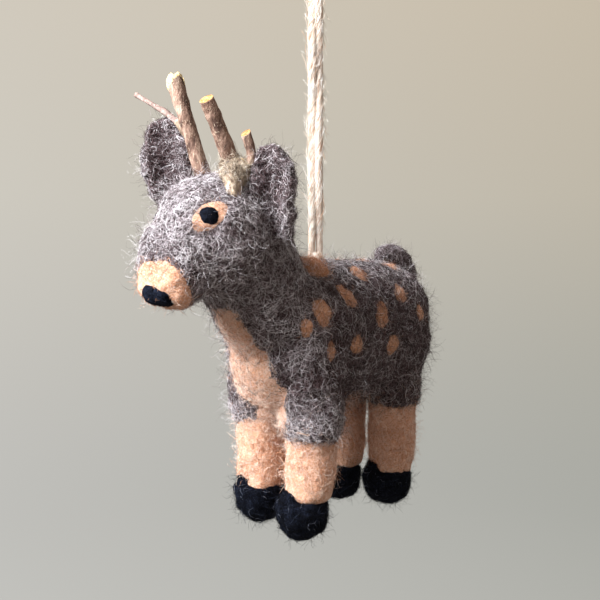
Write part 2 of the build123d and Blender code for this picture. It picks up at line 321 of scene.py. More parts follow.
def felt(name, dark, pale, hair, stops=WOOL_STOPS, tone=False, sheen=0.2, specular=0.15):
    """Matted wool: fibre-scale marl and curling hairs. dark and pale are colours at the stops.
    With tone, the mesh's tone attribute, 0 to 1, takes the marl from dark to pale; on the coat and ears it
    holds painted light and shade as well as the wool's own tone."""
    mat, tree, shader = fresh_material(name, 0.95, sheen, specular)
    fine = noise_node(tree, 900, 6, 2.5)
    broad = noise_node(tree, 240, 3, 0.8, shift=3.0)
    if tone:
        attribute = tree.nodes.new("ShaderNodeAttribute")
        attribute.attribute_name = "tone"
        marl = math_node(tree, "SUBTRACT", broad, 0.5)
        share = range_node(tree, math_node(tree, "ADD", attribute.outputs["Fac"], marl), 0.1, 0.9)
    else:
        share = range_node(tree, broad, 0.3, 0.7)
    low, high = (ramp_node(tree, fine, list(zip(stops, codes))) for codes in (dark, pale))
    ground = mix_node(tree, share, low, high)
    hairs = [strands_node(tree, 900, 0.0, 0.022), strands_node(tree, 620, 7.0, 0.014)]
    strands = math_node(tree, "MAXIMUM", *hairs)
    shown = math_node(tree, "MULTIPLY", strands, 0.55)
    tree.links.new(mix_node(tree, shown, ground, srgb(hair)), shader.inputs["Base Color"])
    relief = math_node(tree, "ADD", fine, math_node(tree, "MULTIPLY", strands, 0.5))
    bump_node(tree, shader, relief, 0.8, 0.0004)
    return mat


def hairs(specular=0.2, **shades):
    """One material for the fibres of each shade."""
    made = []
    for name, code in shades.items():
        mat, _, shader = fresh_material("hair_" + name, 0.7, 0.0, specular)
        shader.inputs["Base Color"].default_value = srgb(code)
        made.append(mat)
    return made


COAT_FELT = felt(
    "coat_felt",
    ("140b0b", "301f20", "564042", "87706f"),
    ("241c1e", "5a4e51", "978c8f", "d6cfd2"),
    "b5abad",
    stops=COAT_STOPS,
    tone=True,
)
TAN_FELT = felt("tan_felt", ("a8704e", "cc9474", "e6bc9e"), ("c48c6a", "e2b294", "f5dac6"), "fae8da")
RUST_FELT = felt("rust_felt", ("8c5a3c", "b67e5c", "d4a486"), ("aa7250", "d09a76", "eac2a4"), "ecc8ac")
BLACK_FELT = felt(
    "black_felt",
    ("040406", "08090d", "12141c"),
    ("0b0c12", "151924", "2a3142"),
    "1c2030",
    sheen=0.0,
    specular=0.05,
)
CORE_FELT = felt("core_felt", ("cfc6b4", "dcd4c4", "efe9dc"), ("d8d0c0", "e8e1d3", "f8f4ea"), "ffffff")
COAT_HAIRS = hairs(dark="281a1a", mid="5e4a4b", grey="9a8c8f", pale="ece6e8")
TAN_HAIRS = hairs(rust="b47852", tan="daa482", cream="f4d4be", blond="fdf0e4")
BLACK_HAIRS = [*hairs(0.05, black="060609", navy="0f121c"), *hairs(slate="2a3040", glint="868c9c")]
BAST_HAIRS = hairs(bast="7c6a5a", fray="ab9a86", splinter="d8ccba")
TWINE_HAIRS = hairs(jute="c9a488", twine="e8d4c2", flax="f6ece0", bleached="fffdf8")

# Wool: fibre materials and slot
COAT_WOOL = (COAT_HAIRS, "coat_wool")
TAN_WOOL = (TAN_HAIRS, "tan_wool")
BLACK_WOOL = (BLACK_HAIRS, "black_wool")


def bark_material():
    mat, tree, shader = fresh_material("bark", 0.8)
    grain = noise_node(tree, 700, 5, 0.8, (1, 1, 0.3))
    flecks = noise_node(tree, 2600, 3, 0.5, (1, 1, 0.6))
    blotch = noise_node(tree, 300, 3, 0.5, shift=2.0)
    dark = ramp_node(tree, grain, [(0.3, "33221c"), (0.45, "563d32"), (0.58, "785c4d"), (0.75, "a58a7a")])
    light = ramp_node(tree, grain, [(0.3, "624a3e"), (0.5, "947666"), (0.75, "c6ae9c")])
    ground = mix_node(tree, range_node(tree, blotch, 0.35, 0.65), dark, light)
    spots = range_node(tree, flecks, 0.58, 0.68)
    colour = mix_node(tree, math_node(tree, "MULTIPLY", spots, 0.6), ground, srgb("c8b49c"))
    tree.links.new(colour, shader.inputs["Base Color"])
    bump_node(tree, shader, math_node(tree, "ADD", grain, flecks), 0.8, 0.0003)
    return mat


def plain_wood(name, stops, scale=1400, stretch=(1, 1, 1)):
    mat, tree, shader = fresh_material(name, 0.75)
    grain = noise_node(tree, scale, 4, 1.0, stretch)
    tree.links.new(ramp_node(tree, grain, stops), shader.inputs["Base Color"])
    bump_node(tree, shader, grain, 0.6, 0.0003)
    return mat


BARK = bark_material()
CUT_WOOD = plain_wood("cut_wood", [(0.3, "c8a468"), (0.5, "e2c88e"), (0.7, "f2e4bc")])
BROWNED_WOOD = plain_wood("browned_wood", [(0.3, "8e5c30"), (0.5, "b5834e"), (0.7, "d4ac7c")])
TORN_BARK = plain_wood("torn_bark", [(0.3, "5e4c40"), (0.5, "94806c"), (0.7, "c8b8a2")], 900, (1, 1, 0.5))
TWIG_BARK = plain_wood("twig_bark", [(0.3, "5c4842"), (0.5, "88726a"), (0.7, "b8a49a")], 900, (1, 1, 0.5))
TWINE = plain_wood(
    "twine_fibre", [(0.28, "bd9274"), (0.42, "dcc0a8"), (0.56, "f0e2d4"), (0.8, "fff9f2")], 1500, (1, 1, 0.2)
)


# ---------------------------------------------------------------- mesh tools


def finish_piece(name, mesh, materials, body, nodes=(), face_slots=None):
    """A piece from a mesh in metres. It rides on body and stands for the CAD nodes."""
    for mat in materials:
        mesh.materials.append(mat)
    if face_slots is not None:
        mesh.polygons.foreach_set("material_index", np.asarray(face_slots, np.int32))
    mesh.polygons.foreach_set("use_smooth", np.ones(len(mesh.polygons), bool))
    obj = linked(name, mesh)
    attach(obj, body)
    if nodes:
        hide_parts(*nodes)
    return obj


def add_object(name, verts, faces, materials, body, nodes=(), face_slots=None):
    mesh = bpy.data.meshes.new(name)
    mesh.from_pydata(np.asarray(verts, float).tolist(), [], faces)
    mesh.update()
    return finish_piece(name, mesh, materials, body, nodes, face_slots)


def unit_ball():
    probe = bmesh.new()
    bmesh.ops.create_icosphere(probe, subdivisions=3, radius=1)
    points = np.array([v.co for v in probe.verts])
    probe.free()
    return points


UNIT_BALL = unit_ball()


def hull_into(bm, balls):
    """Adds the convex hull of some balls to bm."""
    part = bmesh.new()
    for centre, (ahead, left, up) in balls:
        for point in UNIT_BALL * np.array((left, ahead, up)) + place(*centre):
            part.verts.new(point)
    result = bmesh.ops.convex_hull(part, input=part.verts[:])
    inside = {e for e in result["geom_interior"] if isinstance(e, bmesh.types.BMVert)}
    bmesh.ops.delete(part, geom=list(inside), context="VERTS")
    mesh = bpy.data.meshes.new("part")
    part.to_mesh(mesh)
    part.free()
    bm.from_mesh(mesh)
    bpy.data.meshes.remove(mesh)


def fused(hulls, voxel, smoothing):
    """Balls' hulls joined into one skin of even quads and smoothed, as a mesh in millimetres."""
    bm = bmesh.new()
    for balls in hulls:
        hull_into(bm, balls)
    mesh = bpy.data.meshes.new("fused")
    bm.to_mesh(mesh)
    bm.free()
    obj = linked("fused", mesh)
    remesh = obj.modifiers.new("remesh", "REMESH")
    remesh.mode = "VOXEL"
    remesh.voxel_size = voxel
    smooth = obj.modifiers.new("smooth", "SMOOTH")
    smooth.iterations = smoothing
    smooth.factor = 0.5
    graph = bpy.context.evaluated_depsgraph_get()
    result = bpy.data.meshes.new_from_object(obj.evaluated_get(graph))
    bpy.data.objects.remove(obj)
    return result


def mesh_points(mesh):
    points = np.empty(len(mesh.vertices) * 3)
    mesh.vertices.foreach_get("co", points)
    return points.reshape(-1, 3)


def lumps(mesh, seed, layers):
    """Moves a millimetre mesh's points along their normals by layers of noise: (size, height)."""
    shift = Vector((seed * 17.3, seed * 5.1, seed * 9.7))
    moved = np.empty((len(mesh.vertices), 3))
    for i, vertex in enumerate(mesh.vertices):
        height = sum(noise.noise(vertex.co / size + shift) * tall for size, tall in layers)
        moved[i] = vertex.co + vertex.normal * height
    mesh.vertices.foreach_set("co", moved.ravel())
    mesh.update()


def felted(name, hulls, voxel, smoothing, seed, layers, mat, nodes, tone=None, body="deer"):
    """A lumpy felt piece from balls' hulls. Gives its surface."""
    mesh = fused(hulls, voxel, smoothing)
    lumps(mesh, seed, layers)
    points = mesh_points(mesh)
    if tone is not None:
        mesh.attributes.new("tone", "FLOAT", "POINT").data.foreach_set("value", tone(points))
    mesh.vertices.foreach_set("co", world(points).ravel())
    mesh.update()
    piece = finish_piece(name, mesh, [mat], body, nodes)
    return Skin(piece)


class Skin:
    """A piece's surface in millimetres, for laying fibres and patches on it."""

    def __init__(self, obj):
        mesh = obj.data
        mesh.calc_loop_triangles()
        self.points = local(mesh_points(mesh))
        tris = np.empty(len(mesh.loop_triangles) * 3, np.int32)
        mesh.loop_triangles.foreach_get("vertices", tris)
        self.tris = tris.reshape(-1, 3)
        corners = self.points[self.tris]
        cross = np.cross(corners[:, 1] - corners[:, 0], corners[:, 2] - corners[:, 0])
        self.areas = np.linalg.norm(cross, axis=1) / 2
        self.normals = unit(cross)
        self.centres = corners.mean(1)
        self.tree = BVHTree.FromPolygons(self.points.tolist(), self.tris.tolist())

    def scatter(self, count, rng, weight):
        """count random points on the surface with their normals, thicker where weight is larger."""
        share = self.areas * weight
        chosen = rng.choice(len(share), count, p=share / share.sum())
        a, b = rng.random((2, count, 1))
        flip = a + b > 1
        a, b = np.where(flip, 1 - a, a), np.where(flip, 1 - b, b)
        corner = self.points[self.tris[chosen]]
        spots = corner[:, 0] + a * (corner[:, 1] - corner[:, 0]) + b * (corner[:, 2] - corner[:, 0])
        return spots, self.normals[chosen]

    def nearest(self, points):
        """The nearest surface points and their normals."""
        found = [self.tree.find_nearest(p) for p in points.tolist()]
        return np.array([f[0] for f in found]), np.array([f[1] for f in found])

    def near(self, points, reach):
        return np.array([self.tree.find_nearest(p, reach)[0] is not None for p in points.tolist()])

    def hit_or_nearest(self, start, direction):
        """Where a ray lands on the surface and its normal there, or the nearest place if it misses."""
        location, normal, _, _ = self.tree.ray_cast(Vector(start), Vector(direction))
        if location is None:
            location, normal, _, _ = self.tree.find_nearest(Vector(start))
        return location, normal


# ---------------------------------------------------------------- fibres


def lying(skin, count, rng, weight, length, lift, curl, steps):
    """Paths of fibres that wander over the surface and arch a little off it."""
    spots, normals = skin.scatter(count, rng, weight)
    heading = unit(np.cross(normals, rng.normal(size=(count, 3))))
    long = rng.uniform(*length, (count, 1))
    bend = rng.normal(0, curl, (count, 1))
    tall = lift * rng.random((count, 1)) ** 1.5
    here = spots - normals * 0.15
    path = [here]
    for k in range(1, steps + 1):
        turn = bend + rng.normal(0, curl * 0.6, (count, 1))
        heading = unit(heading * np.cos(turn) + np.cross(normals, heading) * np.sin(turn))
        ground, normals = skin.nearest(here + heading * long / steps)
        arch = math.sin(math.pi * k / steps)
        here = ground + normals * (tall * arch + rng.normal(0, 0.05, (count, 1)))
        heading = unit(heading - normals * (heading * normals).sum(1, keepdims=True))
        path.append(here)
    return np.stack(path, 1)


def standing(skin, count, rng, weight, length, lean, wave, steps):
    """Paths of loose fibres that stand off the surface and curl."""
    spots, normals = skin.scatter(count, rng, weight)
    side = unit(np.cross(normals, rng.normal(size=(count, 3))))
    other = np.cross(normals, side)
    axis = unit(normals + side * np.abs(rng.normal(0, lean, (count, 1))))
    long = length[0] + (length[1] - length[0]) * rng.random((count, 1)) ** 2
    phase, turns = rng.uniform(0, 2 * math.pi, (count, 1)), rng.uniform(0.3, 1.1, (count, 1))
    path = []
    for k in range(steps + 1):
        t = k / steps
        angle = phase + 2 * math.pi * turns * t
        drift = side * (np.cos(angle) - np.cos(phase)) + other * (np.sin(angle) - np.sin(phase))
        path.append(spots - normals * 0.2 + axis * long * t + drift * wave * long * t)
    return np.stack(path, 1)


def tubes(paths, widths):
    """Points and the corner lists of triangles and quads of thin three-sided pointed tubes."""
    count, points = paths.shape[:2]
    along = unit(np.gradient(paths, axis=1))
    side = unit(np.cross(along, np.array((0.31, 0.52, 0.79))))
    other = np.cross(along, side)
    taper = np.sin(np.linspace(0.12, math.pi - 0.12, points)) ** 0.35
    radius = (widths[:, None] / 2 * taper[None, :])[:, :, None]
    angles = [2 * math.pi * corner / 3 for corner in range(3)]
    rings = [paths + (side * math.cos(angle) + other * math.sin(angle)) * radius for angle in angles]
    rings = np.stack(rings, 2)[:, 1:-1].reshape(count, -1, 3)
    verts = np.concatenate([paths[:, :1], rings, paths[:, -1:]], 1)
    per = verts.shape[1]
    tris, quads = [], []
    for corner in range(3):
        after = (corner + 1) % 3
        tris.append((0, 1 + after, 1 + corner))
        tris.append((per - 1, per - 4 + corner, per - 4 + after))
        for low in range(1, per - 4, 3):
            quads.append((low + corner, low + after, low + 3 + after, low + 3 + corner))
    base = (np.arange(count) * per)[:, None, None]
    tris = (np.array(tris) + base).reshape(-1, 3)
    quads = (np.array(quads) + base).reshape(-1, 4)
    return verts.reshape(-1, 3), tris, quads


def fibre_piece(name, batches, materials, body):
    """Fibres in one piece. A batch is paths, widths and each fibre's colour number."""
    verts, tris, quads, tri_kinds, quad_kinds = [], [], [], [], []
    base = 0
    for paths, widths, kinds in batches:
        points, three, four = tubes(paths, widths)
        verts.append(points)
        tris.append(three + base)
        quads.append(four + base)
        tri_kinds.append(np.repeat(kinds, len(three) // len(kinds)))
        quad_kinds.append(np.repeat(kinds, len(four) // len(kinds)))
        base += len(points)
    verts, tris, quads = np.concatenate(verts), np.concatenate(tris), np.concatenate(quads)
    mesh = bpy.data.meshes.new(name)
    mesh.vertices.add(len(verts))
    mesh.vertices.foreach_set("co", world(verts).ravel())
    mesh.loops.add(tris.size + quads.size)
    mesh.loops.foreach_set("vertex_index", np.concatenate([tris.ravel(), quads.ravel()]).astype(np.int32))
    mesh.polygons.add(len(tris) + len(quads))
    starts = np.concatenate([np.arange(len(tris)) * 3, tris.size + np.arange(len(quads)) * 4])
    mesh.polygons.foreach_set("loop_start", starts.astype(np.int32))
    mesh.update(calc_edges=True)
    slots = np.concatenate(tri_kinds + quad_kinds)
    return finish_piece(name, mesh, materials, body, (), slots)


def draw_kinds(rng, weights):
    """A colour number for each fibre, from a row of weights for each."""
    weights = np.asarray(weights, float)
    shares = np.cumsum(weights / weights.sum(1, keepdims=True), 1)
    return np.minimum((rng.random((len(weights), 1)) > shares).sum(1), weights.shape[1] - 1)


def clumps(points):
    """Soft random clumps a few mm wide, about -2 to 2: wool of one shade lies together."""
    rng = np.random.default_rng(9)
    count = 14
    waves = rng.normal(0, 1.15, (3, count))
    phases = rng.uniform(0, 2 * math.pi, count)
    return np.sin(points @ waves + phases).sum(1) * math.sqrt(2 / count)


def coat_tone_and_light(points):
    """From 0 on dark flanks to 1 on the pale face and the front cuffs. The face's paleness is the wool's own;
    the cuffs, the top of the back and the breast are paler partly as painted light from above and the front.
    """
    ahead, above = -points[:, 1], points[:, 2]
    face = smoothstep(26, 40, ahead + 0.7 * (above - 66)) * smoothstep(56, 64, above)
    # Painted light in part: the cuffs, the top of the back and the breast are made paler where the lamp falls
    # on them.
    cuffs = smoothstep(38, 27, above) * smoothstep(0, 8, ahead)
    back = smoothstep(58, 66, above) * smoothstep(16, 6, ahead)
    breast = smoothstep(6, 16, ahead) * smoothstep(36, 44, above)
    tone = 0.08 + 0.68 * face + 0.66 * cuffs + 0.38 * back + 0.42 * breast * (1 - face)
    return np.clip(tone + (0.11 + 0.13 * face) * clumps(points), 0, 1)


def toned_weights(tone):
    """Weights of dark, mid, grey and pale fibres from a tone, 0 to 1, that on the coat and ears holds painted
    light and shade as well as the wool's own paleness.
    """

    def weights(points):
        t = tone(points)
        return np.stack([0.47 - 0.31 * t, 0.3 - 0.18 * t, 0.14 + 0.04 * t, 0.09 + 0.45 * t], 1)

    return weights


def even_weights(*shares):
    return lambda points: np.tile(shares, (len(points), 1))


TAN_WEIGHTS = even_weights(0.14, 0.36, 0.32, 0.18)
RUST_WEIGHTS = even_weights(0.45, 0.37, 0.15, 0.03)
BLACK_WEIGHTS = even_weights(0.62, 0.3, 0.06, 0.02)
THIN = 1.0


def furred(name, skin, seed, dense, loose, weigh, wool, weight=None, reach=1.0, thick=1.0):
    """The fibres of one felted piece: dense matted ones and loose ones for each square mm, more of
    them where weight is larger. reach and thick scale their lengths and the matted ones' widths."""
    rng = np.random.default_rng(seed)
    weight = np.ones(len(skin.areas)) if weight is None else weight
    area = (skin.areas * weight).sum() * THIN
    batches = []
    for share, low, high, thin, wide, steps in LYING_KINDS:
        count = int(area * dense * share)
        length = (low * reach, high * reach)
        paths = lying(skin, count, rng, weight, length, 0.75 * reach, 0.38, steps)
        widths = rng.uniform(thin, wide, count) * thick
        batches.append((paths, widths, draw_kinds(rng, weigh(paths[:, 0]))))
    count = int(area * loose * LOOSE_SHARE)
    low, high = LOOSE_LENGTHS
    paths = standing(skin, count, rng, weight, (low * reach, high * reach), 1.3, 0.3, 5)
    widths = rng.uniform(*LOOSE_WIDTHS, count)
    batches.append((paths, widths, draw_kinds(rng, weigh(paths[:, 0]))))
    materials, slot = wool
    return fibre_piece(name, batches, materials, "deer")


# ---------------------------------------------------------------- patches laid on the coat


def ring_faces(rings, around):
    faces = []
    for ring in range(rings - 1):
        for k in range(around):
            after = (k + 1) % around
            low, high = ring * around, (ring + 1) * around
            faces.append((low + k, low + after, high + after, high + k))
    return faces


def laid_patch(skin, start_of, rings=7, around=36, thick=0.35, bury=0.5):
    """Points and faces of a thin felt patch with buried edges.
    start_of(share, angle) gives a ray's start and direction onto the surface."""
    top, bottom = [], []
    for ring in range(rings + 1):
        share = ring / rings
        for k in range(1 if ring == 0 else around):
            start, direction = start_of(share, 2 * math.pi * k / around)
            location, normal = skin.hit_or_nearest(start, direction)
            rise = thick * (1 - share**3) - 0.15 * share**3
            top.append(tuple(location + normal * rise))
            bottom.append(tuple(location - normal * bury))
    count = len(top)
    faces = []
    for layer, flip in ((0, False), (count, True)):
        fans = [(layer, layer + 1 + k, layer + 1 + (k + 1) % around) for k in range(around)]
        quads = [tuple(layer + 1 + i for i in (a, d, c, b)) for a, b, c, d in ring_faces(rings, around)]
        faces += [face[::-1] if flip else face for face in fans + quads]
    edge = 1 + (rings - 1) * around
    for k in range(around):
        after = (k + 1) % around
        faces.append((edge + k, count + edge + k, count + edge + after, edge + after))
    return top + bottom, faces


def joined(parts):
    """Several (points, faces, ...) as one."""
    verts, faces, slots = [], [], []
    for part in parts:
        base = len(verts)
        verts += part[0]
        faces += [tuple(base + i for i in face) for face in part[1]]
        slots += part[2] if len(part) > 2 else []
    return verts, faces, slots


def wobble(angle, seed, amount):
    """A ragged but smooth outline factor round a patch."""
    centre = Vector((math.cos(angle) * 1.3, math.sin(angle) * 1.3, seed * 3.7))
    return 1 + amount * noise.noise(centre) + amount * 0.5 * noise.noise(centre * 2.7)


def straight_patch(centre, outward, upward, wide, tall, lean, seed, rough=0.22, power=2.0):
    """Rays for an oval patch seen along outward, its long side turned by lean degrees.
    A power over 2 squares the oval's corners."""
    outward = unit(outward)
    across = unit(np.cross(upward, outward))
    rise = np.cross(outward, across)
    turn = math.radians(lean)

    def start_of(share, angle):
        c, s = math.cos(angle), math.sin(angle)
        factor = share * wobble(angle, seed, rough) / (abs(c) ** power + abs(s) ** power) ** (1 / power)
        x, y = c * wide / 2 * factor, s * tall / 2 * factor
        x, y = x * math.cos(turn) - y * math.sin(turn), x * math.sin(turn) + y * math.cos(turn)
        return centre + outward * 30 + across * x + rise * y, -outward

    return start_of


def round_patch(centre, outward, spread, seed):
    """Rays that fan out from a point inside, for a patch that wraps round an end."""
    outward = unit(outward)
    across = unit(np.cross((0, 0, 1), outward))
    rise = np.cross(outward, across)

    def start_of(share, angle):
        bend = math.radians(spread) * share * wobble(angle, seed, 0.08)
        aside = across * math.cos(angle) + rise * math.sin(angle)
        return centre, outward * math.cos(bend) + aside * math.sin(bend)

    return start_of


# ---------------------------------------------------------------- the felted deer


def make_coat():
    hulls = [TORSO, CHEST, NECK, HEAD, MUZZLE]
    for _, (ahead, left), _, hem, (off_ahead, off_left) in LEGS.values():
        foot = (ahead + off_ahead, left + off_left, hem + 3.4)
        top = (ahead + off_ahead, (left + off_left) * 0.9, LEG_TOP)
        hulls.append([(foot, (7.2, 7.2, 3.8)), (top, (9.0, 7.6, 8.0))])
    nodes = ["torso_coat", "neck_coat", "head_coat"] + ["cuff_" + name for name in LEGS]
    layers = [(7.0, 0.9), (2.6, 0.5), (1.2, 0.22)]
    return felted("coat", hulls, 0.55, 12, 1, layers, COAT_FELT, nodes, coat_tone_and_light)


def make_legs():
    skins = {}
    for number, (name, (hoof, shank, sole, _, _)) in enumerate(LEGS.items()):
        foot, knee = (*hoof, SHANK_FOOT), (*shank, KNEE)
        ankle = tuple(0.35 * a + 0.65 * b for a, b in zip(foot, (*shank, ANKLE)))
        lower = [(ankle, (SHANK - 0.3, SHANK - 0.3, 3)), (knee, (SHANK, SHANK, 3))]
        upper = [(knee, (SHANK, SHANK, 3)), ((*shank, 34.0), (SHANK + 0.3, SHANK, 3))]
        piece, hulls, layers = "shank_" + name, [lower, upper], [(5.0, 0.5), (2.0, 0.3)]
        skins[piece] = felted(piece, hulls, 0.5, 6, 3 + number, layers, TAN_FELT, [piece])
        low = (*hoof, sole + 6.0)
        high = (hoof[0] + 0.3, hoof[1], sole + HOOF_TOP - 1.6)
        toe = (hoof[0] + 3.4, hoof[1] - 1.0, sole + HOOF_TOP + 0.4)
        cup = [(low, (6.3, 6.2, 6.1)), (high, (6.4, 6.3, 2.2))]
        tip = [(low, (5, 5, 5)), (toe, (2.6, 2.8, 1.8))]
        piece, hulls, layers = "hoof_" + name, [cup, tip], [(4.0, 0.6), (1.6, 0.35)]
        skins[piece] = felted(piece, hulls, 0.45, 5, 8 + number, layers, BLACK_FELT, [piece])
    return skins


def ear_frame(side):
    """The ear's foot, and unit directions up it, across it and out of its cupped front."""
    foot, long, lean, tip, turn = EARS[side]
    lean, tip, turn = (math.radians(v) for v in (lean, tip, turn))
    up = unit((SIDES[side] * math.tan(lean), -math.tan(tip), 1))
    front = np.array((math.sin(turn), -math.cos(turn), 0))
    front = unit(front - up * (front @ up))
    return place(*foot), long, up, np.cross(up, front), front


def ear_hulls(side):
    """A cupped leaf as hulls of small balls over a grid of points."""
    foot, long, up, across, front = ear_frame(side)
    rows, columns = 8, 6
    shares, halves = zip(*EAR_OUTLINE)
    grid = []
    for i in range(rows + 1):
        t = i / rows
        half = np.interp(t, shares, halves)
        line = []
        for j in range(columns + 1):
            s = -1 + 2 * j / columns
            cup = 2.6 * s * s * math.sin(math.pi * min(0.15 + t, 1) * 0.9)
            corner = 1.4 * abs(s) ** 3 * t**3
            point = foot + up * (long * t - corner) + across * s * half + front * (cup + 1.2 * (t - 0.4) ** 2)
            line.append(((-point[1], point[0], point[2]), (1.15 + 0.25 * abs(s),) * 3))
        grid.append(line)
    return [
        [grid[i][j], grid[i][j + 1], grid[i + 1][j], grid[i + 1][j + 1]]
        for i in range(rows) for j in range(columns)
    ]


def ear_tone_and_shade(side):
    """Pale along the rim and at the foot of an ear, dark in its middle. The dark middle is partly the wool's
    own and partly painted shade of the ear's cupped hollow.
    """
    foot, long, up, across, _ = ear_frame(side)

    def tone(points):
        s = np.abs((points - foot) @ across) / 5.0
        t = ((points - foot) @ up) / long
        rim = smoothstep(0.6, 1.0, s)
        root = smoothstep(0.3, 0, t)
        # Painted shade in part: the middle of the cupped ear stays dark, pale only at the rim and foot.
        return np.clip(0.1 + 0.34 * rim + 0.3 * root + 0.08 * clumps(points), 0, 1)

    return tone


def make_ears():
    ears = {}
    for number, side in enumerate(EARS):
        name, hulls, layers = "ear_" + side, ear_hulls(side), [(4.0, 0.7), (1.6, 0.35)]
        ears[side] = felted(
            name, hulls, 0.42, 4, 41 + number, layers, COAT_FELT, [name], ear_tone_and_shade(side)
        )
    return ears


def tail_tone(points):
    return np.clip(0.25 + 0.4 * smoothstep(62, 68, points[:, 2]), 0, 1)


def make_tail():
    balls = []
    ahead, above = TAIL_MIDDLE
    for turn, radius in TAIL_BALLS:
        angle = math.radians(turn)
        centre = (ahead - TAIL_CURL * math.cos(angle), 0, above + TAIL_CURL * math.sin(angle))
        balls.append((centre, (radius, radius, radius)))
    hulls = [balls[i : i + 2] for i in range(len(balls) - 1)]
    layers = [(3.5, 0.6), (1.4, 0.3)]
    return felted("tail", hulls, 0.4, 5, 21, layers, COAT_FELT, ["tail"], tail_tone)


def make_bib(skin):
    """A strip from the throat to the front legs that widens downwards, wrapped on the chest."""
    rows, columns = 28, 18
    top, bottom = [], []
    for i in range(rows + 1):
        t = i / rows
        above = BIB_TOP - BIB_TALL * t
        half = 3.6 + 6.2 * t**0.9 + 0.5 * noise.noise(Vector((0, 0, t * 6)))
        edge_rise = min(1, 6 * t, 6 * (1 - t))
        for j in range(columns + 1):
            s = -1 + 2 * j / columns
            ragged = half * (1 + 0.09 * noise.noise(Vector((s * 2, 5, t * 9))))
            ragged *= 1 - (0.8 if s < 0 else 0.15) * smoothstep(0.68, 0.98, t)
            location, normal = skin.hit_or_nearest(place(33, s * ragged, above), (0, 1, 0))
            rise = 0.5 * (1 - abs(s) ** 3) * edge_rise - 0.15 * abs(s) ** 3
            top.append(tuple(location + normal * rise))
            bottom.append(tuple(location - normal * 0.5))
    faces = []
    row, total = columns + 1, len(top)
    for i in range(rows):
        for j in range(columns):
            a, b = i * row + j, i * row + j + 1
            faces.append((a, a + row, b + row, b))
            faces.append((total + a, total + b, total + b + row, total + a + row))
        left, right = i * row, i * row + columns
        faces.append((left, total + left, total + left + row, left + row))
        faces.append((right, right + row, total + right + row, total + right))
    for j in range(columns):
        low = rows * row + j
        faces.append((j, j + 1, total + j + 1, total + j))
        faces.append((low, total + low, total + low + 1, low + 1))
    return top + bottom, faces


def add_patch(made, name, shape, mat=TAN_FELT):
    """Adds a patch as a piece of its own. shape is its points and faces."""
    made[name] = Skin(add_object(name, world(shape[0]), shape[1], [mat], "deer", [name]))


def make_spots(skin, made):
    """The pale spots worked into the coat: one piece on each flank and one along the spine."""
    for side, sign in SIDES.items():
        spots = []
        for number, (ahead, above, wide, tall, lean) in enumerate(FLANK_SPOTS):
            seed, centre = number + 31 * sign, place(ahead, 0, above)
            rays = straight_patch(centre, (sign, 0, 0), (0, 0, 1), wide, tall, sign * lean, seed)
            spots.append(laid_patch(skin, rays, thick=0.3))
        add_patch(made, "flank_spots_" + side, joined(spots), RUST_FELT)
    spots = []
    for number, (ahead, left, long, wide) in enumerate(SPINE_SPOTS):
        outward = (left * 0.04, 0, 1)
        rays = straight_patch(place(ahead, left, 50), outward, (0, -1, 0), wide, long, 0, number + 60)
        spots.append(laid_patch(skin, rays, thick=0.3))
    add_patch(made, "spine_spots", joined(spots), RUST_FELT)


def make_patches(skin):
    """Tan and black wool worked onto the coat, each kind as its own piece."""
    made = {}
    make_spots(skin, made)
    up = (0, 0, 1)
    rays = round_patch(place(*MUZZLE_CAP), unit((0.16, -0.86, -0.44)), 78, 70)
    add_patch(made, "muzzle_band", laid_patch(skin, rays, rings=16, around=60, thick=0.5))
    rays = straight_patch(place(*BIB_TONGUE), unit((0.68, -0.73, 0)), up, 7.6, 10.5, 10, 97)
    tongue = laid_patch(skin, rays, thick=0.45)
    add_patch(made, "chest_bib", joined([make_bib(skin), tongue]))
    rays = straight_patch(place(*BELLY), (0, 0, -1), (0, 1, 0), 20, 24, 0, 75)
    add_patch(made, "belly_panel", laid_patch(skin, rays, rings=8, around=40))
    centre = place(*HEAD_CENTRE)
    for side, sign in SIDES.items():
        outward = unit(place(*EYE_LINES[side]))
        rays = straight_patch(centre, outward, up, 9.6, 6.0, sign * 36, 80 + sign, 0.12, 1.7)
        add_patch(made, "eye_ring_" + side, laid_patch(skin, rays, 6, 36, 0.45))
        rays = straight_patch(centre, outward, up, 4.8, 4.5, 0, 90 + sign, 0.15, 2.4)
        add_patch(made, "pupil_" + side, laid_patch(skin, rays, 6, 28, 0.95), BLACK_FELT)
    yaw, dip = math.radians(NOSE_YAW), math.radians(NOSE_DIP)
    outward = np.array((math.sin(yaw) * math.cos(dip), -math.cos(yaw) * math.cos(dip), -math.sin(dip)))
    rays = straight_patch(place(*NOSE), outward, up, 8.2, 4.8, -14, 96, 0.12, 3.0)
    add_patch(made, "nose_patch", laid_patch(skin, rays, 8, 48, 1.35, 1.0), BLACK_FELT)
    return made


# ---------------------------------------------------------------- twigs


def smooth_line(points, per=8):
    """Points along a soft curve through the given ones."""
    points = [np.asarray(p, float) for p in points]
    ends = [2 * points[0] - points[1], *points, 2 * points[-1] - points[-2]]
    line = []
    for a, b, c, d in zip(ends, ends[1:], ends[2:], ends[3:]):
        for k in range(per):
            t = k / per
            bend = (2 * a - 5 * b + 4 * c - d) * t * t + (3 * b - a - 3 * c + d) * t**3
            line.append(0.5 * (2 * b + (c - a) * t + bend))
    line.append(points[-1])
    return np.array(line)


